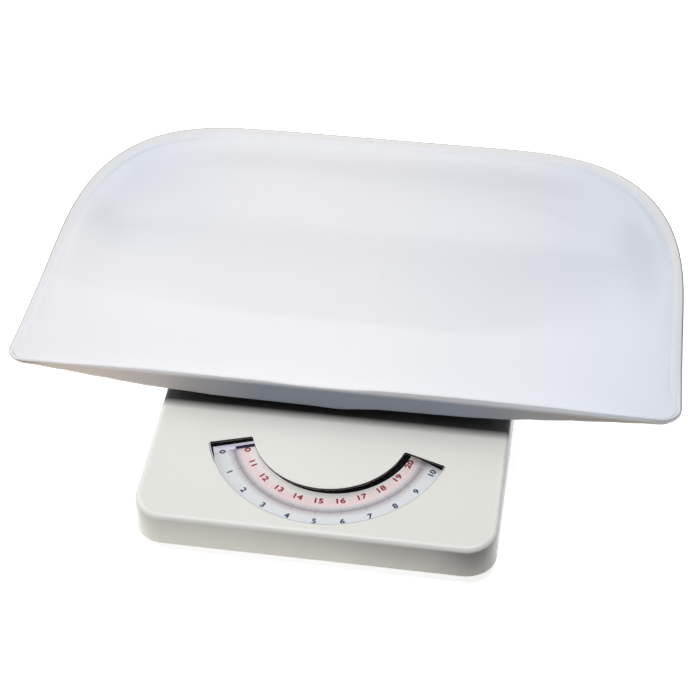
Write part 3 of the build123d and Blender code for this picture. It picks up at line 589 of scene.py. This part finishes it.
def on_end(line, radius):
    """Angle at which a circle round the dial's centre meets one of the card's two ends."""
    (x0, y0), (x1, y1) = line
    dx, dy = x1 - x0, y1 - y0
    a = dx * dx + dy * dy
    b = 2 * (x0 * dx + y0 * dy)
    c = x0 * x0 + y0 * y0 - radius * radius
    root = math.sqrt(max(b * b - 4 * a * c, 0.0))
    t = min(((-b + root) / (2 * a), (-b - root) / (2 * a)), key=lambda value: abs(value - 0.5))
    return math.atan2(y0 + t * dy, x0 + t * dx)


def inner_radius(angle):
    """Distance from the dial's centre to the card's inner edge, whose circle lies a little off the centre."""
    ux, uy = math.cos(angle), math.sin(angle)
    along = ux * hole_middle[0] + uy * hole_middle[1]
    off = hole_middle[0] ** 2 + hole_middle[1] ** 2
    return along + math.sqrt(max(along * along - off + hole_radius**2, 0.0))


points, faces = [], []
rings = 14
for ring_number in range(rings + 1):
    share = ring_number / rings
    for step in range(print_steps + 1):
        turn = step / print_steps
        angle = card_from + card_turn * turn
        # The ends are slanting lines, so the angle and the radius are found in a few rounds.
        for _ in range(3):
            rim = card_outer - card_trim * (1 - smooth(trim_from, trim_to, angle))
            radius = inner_radius(angle) + (rim - inner_radius(angle)) * share
            start = on_end(ends["left"], radius)
            stop = on_end(ends["right"], radius)
            start = start - 2 * math.pi if start > 0 else start
            angle = start + (stop - start) * turn
        points.append(on_card(math.cos(angle) * radius, math.sin(angle) * radius, print_lift))
for ring_number in range(rings):
    for step in range(print_steps):
        a = ring_number * (print_steps + 1) + step
        b = a + print_steps + 1
        faces.append((a, a + 1, b + 1, b))

card = Nodes("dial_card_print")
across, level, _ = card.split(card.minus(on_card(0, 0)))
up = card.product(level, 1 / math.cos(tilt))
radius = card.distance(across, up)
turned = card.math("ARCTAN2", up, across)
white = srgb(250, 246, 244)
lilac = srgb(238, 232, 248)
pink = srgb(255, 236, 235)
rose = srgb(252, 226, 228)
mauve = srgb(200, 194, 198)
dusk = srgb(186, 181, 184)
haze = srgb(224, 222, 225)
pale = srgb(235, 238, 241)
print_inner = 0.060
print_outer = 0.100
share = card.spread(radius, 0.0, 1.0, print_inner, print_outer)


def at(value):
    """Place of a radius on the ramp."""
    return (value - print_inner) / (print_outer - print_inner)


tones = card.ramp(share, [
    (0.0, white), (at(0.0655), white), (at(0.0700), pink), (at(0.0748), rose), (at(0.0766), haze),
    (at(0.0783), mauve), (at(0.0802), dusk), (at(0.0820), mauve), (at(0.0845), haze), (at(0.0865), pale),
    (at(0.0990), pale),
])
before_zero = card.spread(turned, 1.0, 0.0, math.radians(-161.2), math.radians(-159.8))
printed = card.mix(before_zero, tones, lilac)
# The card's colour is dimmed with grey and it glows in its printed colours: painted light that fills the
# shade from the window's edges, most near the inner edge and before the zero.
card.set("Base Color", card.mix(card.spread(card.noise(60.0, 3.0), 0.22, 0.30), printed, srgb(150, 148, 152)))
card.set("Roughness", card.spread(card.noise(300.0), 0.5, 0.62))
card.set("Emission Color", printed)
edge_glow = card.spread(radius, 0.46, 0.26, 0.062, 0.070)
card.set("Emission Strength", card.math("ADD", edge_glow, card.product(before_zero, 0.30)))
card.bump(card.noise(1800.0), 0.2, 0.00003)
dial_print = piece("dial_print", points, faces, card.material, "base")
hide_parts("dial_card")

for name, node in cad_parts.items():
    material = finish.get(name, zinc)
    node.data.materials.clear()
    node.data.materials.append(material)

# Tray: the line of its back corners is a superellipse, whose sizes are with the shared ones

tray_run = back_y - front_y
wall = 0.003
seat = 0.0643
front_rim = 0.0844
back_rim = tray_high.z - skin
full_half = 0.275
flat_half = 0.100
fold_run = 0.108
fold_soft = 0.007
rim_power = 2.6
bow_reach = 0.3
bow_in = 0.150
bow_out = 0.210
dish_width = 0.028
dish_power = 2.3
ease_share = 0.5
ease_run = 0.030
end_drop = 0.005
end_power = 1.25
rear_drop = 0.018
rear_start = 0.3
blend_power = 2.5
crease_height = 0.0004
crease_x = 0.012
crease_width = 0.004
fold_depth = 0.0005
fold_width = 0.0012
lip_width = 0.0085
lip_drop = 0.0016
corner_front = 0.018
columns = 46
# How far the front rim lies over or under its mean height, from left to right
front_bow = [
    (-0.275, -0.0040), (-0.228, -0.0030), (-0.190, -0.0012), (-0.150, 0.0), (-0.060, 0.0),
    (-0.025, -0.0014), (0.005, -0.0010), (0.040, 0.0012), (0.100, 0.0020), (0.160, 0.0016),
    (0.220, 0.0004), (0.275, 0.0),
]
# Lower edge of the tray's front face, from left to right
front_foot = [
    (-0.275, 0.0785), (-0.250, 0.0768), (-0.227, 0.0742), (-0.193, 0.0703), (-0.169, 0.0674),
    (-0.150, 0.0656), (-0.127, 0.0646), (-0.094, 0.0628), (-0.028, 0.0623), (0.005, 0.0613),
    (0.022, 0.0632), (0.037, 0.0648), (0.070, 0.0654), (0.102, 0.0660), (0.134, 0.0676),
    (0.165, 0.0710), (0.196, 0.0742), (0.227, 0.0768), (0.250, 0.0786), (0.275, 0.0798),
]


def between(table, x):
    """Height at x from a table of places and heights, eased from each place to the next."""
    for (x0, y0), (x1, y1) in zip(table, table[1:]):
        if x <= x1:
            return y0 + (y1 - y0) * smooth(x0, x1, x)
    return table[-1][1]


def depth_share(y):
    """How far back a place lies, from 0 at the tray's front to 1 at its back."""
    return max((y - front_y) / tray_run, 0.0)


def bow(x, y):
    """How far the edge lies over or under its mean height, which dies out towards the back."""
    return between(front_bow, x) * (1 - smooth(0.0, bow_reach, depth_share(y)))


def rim_height(x, y):
    """Height of the crown of the tray's edge, low at the front and rising to the back."""
    return front_rim + (back_rim - front_rim) * depth_share(y) ** rim_power + bow(x, y)


def floor_height(x, y):
    """Top of the tray's floor: flat, with a faint crease, and with ends and a back that curve up.

    The two ends follow the bow of the front edge.
    """
    flat = seat + wall
    past = max(abs(x) - flat_half, 0.0) / (full_half - flat_half)
    ends = (front_rim - end_drop + wall - flat) * past**end_power
    run = y - front_y - fold_run
    if abs(run) < fold_soft:
        run = (run + fold_soft) ** 2 / (4 * fold_soft)
    run = max(run, 0.0) / (tray_run - fold_run)
    rear = (back_rim - rear_drop + wall - flat) * (rear_start * run + (1 - rear_start) * run * run)
    crease = crease_height * math.exp(-((x - crease_x) / crease_width) ** 2)
    curved = (ends**blend_power + rear**blend_power) ** (1 / blend_power)
    return flat + curved + crease + bow(x, y) * smooth(bow_in, bow_out, abs(x))


def upper(x, y, inset):
    """Upper face at a distance in from the side or back edge, with a lip that rolls over outwards."""
    floor = floor_height(x, y)
    rim = max(rim_height(x, y) - floor, 0.0)
    inside = max(inset - lip_width, 0.0)
    dish = 1 / (1 + (inside / dish_width) ** dish_power)
    along = max(y - front_y, 0.0)
    ease = 1 - ease_share * math.exp(-along / ease_run)
    roll = lip_drop * max(1 - inset / lip_width, 0.0) ** 2 * smooth(0.01, 0.07, along)
    fold = fold_depth * math.exp(-((inset - lip_width - fold_width) / fold_width) ** 2)
    return floor + rim * dish * ease - roll - fold * smooth(0.004, 0.020, along)


def side_line(inset):
    """Right side of the tray's outline, from the front corner round to the back."""
    out = []
    radius = max(corner_front - inset, 0.002)
    centre_x = half_length - inset - radius
    centre_y = front_y + inset + radius
    for step in range(9):
        angle = -math.pi / 2 + math.pi / 2 * step / 8
        out.append((centre_x + radius * math.cos(angle), centre_y + radius * math.sin(angle)))
    start = out[-1][1]
    centre_x = half_length - corner_long
    centre_y = back_y - corner_deep
    for step in range(1, 11):
        out.append((half_length - inset, start + (centre_y - start) * step / 11))
    for step in range(33):
        angle = math.pi / 2 * step / 32
        across = round(math.cos(angle), 9) ** (2 / corner_power)
        deep = round(math.sin(angle), 9) ** (2 / corner_power)
        out.append((centre_x + (corner_long - inset) * across, centre_y + (corner_deep - inset) * deep))
    return out


side_edge = side_line(0.0)


def inset_of(x, y):
    """Distance in from the tray's side or back edge."""
    nearest = 1.0
    x = abs(x)
    for (x0, y0), (x1, y1) in zip(side_edge[8:], side_edge[9:] + [(0.0, back_y)]):
        dx, dy = x1 - x0, y1 - y0
        length = dx * dx + dy * dy
        t = min(max(((x - x0) * dx + (y - y0) * dy) / length, 0.0), 1.0) if length else 0.0
        nearest = min(nearest, math.hypot(x0 + t * dx - x, y0 + t * dy - y))
    return nearest


stations = [2 * i / columns - 1 for i in range(columns + 1)]
stations = sorted(stations + [0.02, 0.06, 0.075])


def loop(inset):
    """Closed outline of the tray at an inset, as points (x, y)."""
    side = side_line(inset)
    front = [(side[0][0] * u, side[0][1]) for u in stations]
    back = [(side[-1][0] * u, side[-1][1]) for u in reversed(stations)]
    right = side[1:-1]
    left = [(-x, y) for x, y in reversed(side[1:-1])]
    return front + right + back + left


# Rows run from the crown of the edge, in millimetres: inset and fall at the front, then at the sides.
# A front fall of 10 or more is 10 plus a share of the way from the rim to the foot. From 12 on, the foot of a
# lower row is the floor's underside and no longer the measured line of the front face.
share_falls = 10
floor_falls = 12
top_rows = [
    (1.5, 0.0, 1.2, 0.0), (2.3, 0.15, 2.1, 0), (2.8, 0.6, 3.3, 0), (3.0, 1.5, 4.7, 0), (3.05, 10.2, 6.3, 0),
    (3.1, 10.4, 7.8, 0), (3.15, 10.5, 8.5, 0), (3.2, 10.6, 9.1, 0), (3.25, 10.66, 9.7, 0),
    (3.3, 10.72, 10.3, 0), (3.4, 10.78, 11.0, 0), (3.6, 10.84, 12.2, 0), (3.9, 10.9, 14.6, 0),
    (5.0, 10.97, 17.6, 0), (7.0, 11, 21.0, 0), (11.0, 11, 25.5, 0), (18.0, 11, 31.0, 0),
    (30.0, 11, 38.0, 0), (46.0, 11, 46.0, 0),
]
under_rows = [
    (0.7, 0.15, 0.5, 0.15), (0.2, 0.6, 0.15, 0.5), (0.0, 1.5, 0.0, 1.0), (0.0, 10.25, 0.0, 1.4),
    (0.0, 10.5, 0.0, 1.8), (0.0, 10.75, 0.05, 2.2), (0.15, 10.88, 0.3, 2.6), (0.7, 10.96, 0.9, 2.9),
    (2.0, 11, 2.0, 3.0), (4.5, 12, 4.0, 3.1), (8.0, 12, 8.0, 3.2), (13.0, 12, 13.0, 3.4),
    (20.0, 12, 20.0, 3.4), (31.0, 12, 31.0, 3.2), (46.0, 12, 46.0, 3.1),
]
outer_loop = loop(0.0)
under_thickness = wall * 1.04


def underside(x, y, inset):
    return upper(x, y, inset) - under_thickness


def ring(front_inset, front_fall, side_inset, side_fall, lower):
    """One row of points round the tray, mixed from its front's form to its sides' form."""
    out = []
    front_loop = loop(front_inset * MM)
    side_loop = loop(side_inset * MM)
    for (ox, oy), (fx, fy), (bx, by) in zip(outer_loop, front_loop, side_loop):
        share = smooth(0.0, 0.050, oy - front_y)
        x = fx + (bx - fx) * share
        y = fy + (by - fy) * share
        rim = rim_height(ox, oy)
        foot = upper(x, y, inset_of(x, y))
        if lower:
            foot = between(front_foot, ox) if front_fall < floor_falls else foot - under_thickness
        if front_fall >= share_falls:
            front_z = rim + (foot - rim) * min(front_fall - share_falls, 1.0)
        else:
            front_z = rim - front_fall * MM
        side_z = upper(x, y, side_inset * MM) - side_fall * MM
        out.append((x, y, front_z + (side_z - front_z) * share))
    return out


def face_of(rings, height, points, faces, flip):
    """Adds one face of the tray, from its crown's rings in to a grid over the middle.

    Returns the number of its first point.
    """
    first = len(points)
    for row in rings:
        points.extend(row)
    count = len(outer_loop)

    def add(*corners):
        faces.append(tuple(reversed(corners)) if flip else corners)

    for r in range(len(rings) - 1):
        for k in range(count):
            n = (k + 1) % count
            low = first + r * count
            add(low + k, low + n, low + count + n, low + count + k)
    last = first + (len(rings) - 1) * count
    wide = len(stations)
    tall = len(side_line(0.0))
    grid = {}
    for row in range(tall):
        for column in range(wide):
            if row == 0:
                grid[row, column] = last + column
            elif row == tall - 1:
                grid[row, column] = last + wide + tall - 2 + (wide - 1 - column)
            elif column == wide - 1:
                grid[row, column] = last + wide + row - 1
            elif column == 0:
                grid[row, column] = last + 2 * wide + tall - 2 + (tall - 2 - row)
    for row in range(1, tall - 1):
        right = points[grid[row, wide - 1]]
        left = points[grid[row, 0]]
        for column in range(1, wide - 1):
            t = (stations[column] + 1) / 2
            x = left[0] + (right[0] - left[0]) * t
            y = left[1] + (right[1] - left[1]) * t
            grid[row, column] = len(points)
            points.append((x, y, height(x, y, inset_of(x, y))))
    for row in range(tall - 1):
        for column in range(wide - 1):
            add(grid[row, column], grid[row, column + 1], grid[row + 1, column + 1], grid[row + 1, column])
    return first


def tube(centre, low, high, radius, hole, points, faces, steps=32):
    """Adds an upright tube between two heights."""
    first = len(points)
    for step in range(steps):
        angle = 2 * math.pi * step / steps
        for r, z in ((radius, high), (radius, low), (hole, low), (hole, high)):
            points.append((centre[0] + r * math.cos(angle), centre[1] + r * math.sin(angle), z))
    for step in range(steps):
        a = first + 4 * step
        b = first + 4 * ((step + 1) % steps)
        for k in range(4):
            faces.append((a + k, b + k, b + (k + 1) % 4, a + (k + 1) % 4))


points, faces = [], []
top_first = face_of([ring(*row, False) for row in top_rows], upper, points, faces, False)
under_first = face_of([ring(*row, True) for row in under_rows], underside, points, faces, True)
for k in range(len(outer_loop)):
    n = (k + 1) % len(outer_loop)
    faces.append((top_first + n, top_first + k, under_first + k, under_first + n))
smooth_faces = len(faces)

# Two ribs under the floor, and the four bosses that the tray's screws go into.
cover_back = 0.1291
rib_front = front_y + fold_run + 0.0005
rib_back = cover_back - 0.012
rib_steps = 12
rib_x = 0.070
rib_half = 0.0015
rib_sunk = 0.0015
boss_radius = 0.005
boss_hole = 0.002
boss_reach = 0.0026
boss_rows = (0.0061, 0.1041)
for side in (-1, 1):
    x = rib_x * side
    first = len(points)
    for step in range(rib_steps + 1):
        y = rib_front + (rib_back - rib_front) * step / rib_steps
        low, high = seat - skin, floor_height(x, y) - rib_sunk
        for px, pz in ((-rib_half, low), (rib_half, low), (rib_half, high), (-rib_half, high)):
            points.append((x + px, y, pz))
    for step in range(rib_steps):
        a = first + 4 * step
        for k in range(4):
            faces.append((a + k, a + (k + 1) % 4, a + 4 + (k + 1) % 4, a + 4 + k))
    last = first + 4 * rib_steps
    faces.append((first + 3, first + 2, first + 1, first))
    faces.append((last, last + 1, last + 2, last + 3))
    for y in boss_rows:
        tube((x, y), seat - boss_reach, floor_height(x, y) - rib_sunk, boss_radius, boss_hole, points, faces)
tray = piece("tray_shell", points, faces, tray_white, "platform")
for number, face in enumerate(tray.data.polygons):
    face.use_smooth = number < smooth_faces
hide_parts("tray")

# Floor, light and camera

bpy.ops.mesh.primitive_plane_add(size=30, location=(0, 0, 0))
ground = bpy.context.object
ground.name = "ground"
# The paper glows, as white as the photograph's ground to the eye and less to the rays that light the object.
glow_lighting = 0.334
glow_seen = 0.40
paper = Nodes("ground_paper")
paper.set("Base Color", (0.9, 0.9, 0.9, 1.0))
paper.set("Roughness", 0.9)
path = paper.add("ShaderNodeLightPath")
seen = paper.math("MAXIMUM", path.outputs["Is Camera Ray"],
                  paper.math("MAXIMUM", path.outputs["Is Glossy Ray"], path.outputs["Is Transmission Ray"]))
paper.set("Emission Color", (1.0, 1.0, 1.0, 1.0))
paper.set("Emission Strength", paper.math("ADD", paper.product(seen, glow_seen), glow_lighting))
ground.data.materials.append(paper.material)

# The world is white for the camera alone, so that only the paper and the lamps light the object.
world = bpy.data.worlds.new("studio")
bpy.context.scene.world = world
world.use_nodes = True
sky = world.node_tree
back = sky.nodes["Background"]
back.inputs["Color"].default_value = (1.0, 1.0, 1.0, 1.0)
path = sky.nodes.new("ShaderNodeLightPath")
sky.links.new(path.outputs["Is Camera Ray"], back.inputs["Strength"])

lamp_aim = Vector((0.0, 0.0, 0.08))
lamp_distance = 2.0
lamp_side = 1.2


def lamp(name, turn, height, power):
    """Soft square lamp, at a turn from the front (towards the right) and a height, both in degrees."""
    turn = math.radians(turn)
    height = math.radians(height)
    flat = lamp_distance * math.cos(height)
    away = Vector((flat * math.sin(turn), -flat * math.cos(turn), lamp_distance * math.sin(height)))
    data = bpy.data.lights.new(name, "AREA")
    data.shape = "RECTANGLE"
    data.size = lamp_side
    data.size_y = lamp_side
    data.energy = power
    made = bpy.data.objects.new(name, data)
    bpy.context.scene.collection.objects.link(made)
    made.location = lamp_aim + away
    made.rotation_euler = (-away).to_track_quat("-Z", "Y").to_euler()


lamp("behind_low", 180, 25, 3.0)
lamp("behind_high", 180, 50, 4.2)
lamp("behind_left", -135, 70, 2.2)
lamp("behind_right", 135, 45, 7.4)
lamp("left", -90, 40, 11.1)
lamp("front_left", -45, 60, 6.4)
lamp("front", 0, 75, 3.5)
lamp("top", 0, 90, 12.4)

# The camera was fitted to the photograph together with the object's sizes.
camera_place = Vector((0.1787, -1.1453, 0.9585))
camera_aim = Vector((0.01546, -0.10405, 0.13685))
eye = bpy.data.cameras.new("eye")
eye.lens = 89.07
eye.sensor_width = 36.0
eye.clip_end = 60
camera = bpy.data.objects.new("eye", eye)
bpy.context.scene.collection.objects.link(camera)
camera.location = camera_place
camera.rotation_euler = (camera_aim - camera_place).to_track_quat("-Z", "Y").to_euler()
bpy.context.scene.camera = camera
bpy.context.scene.view_settings.view_transform = "Standard"
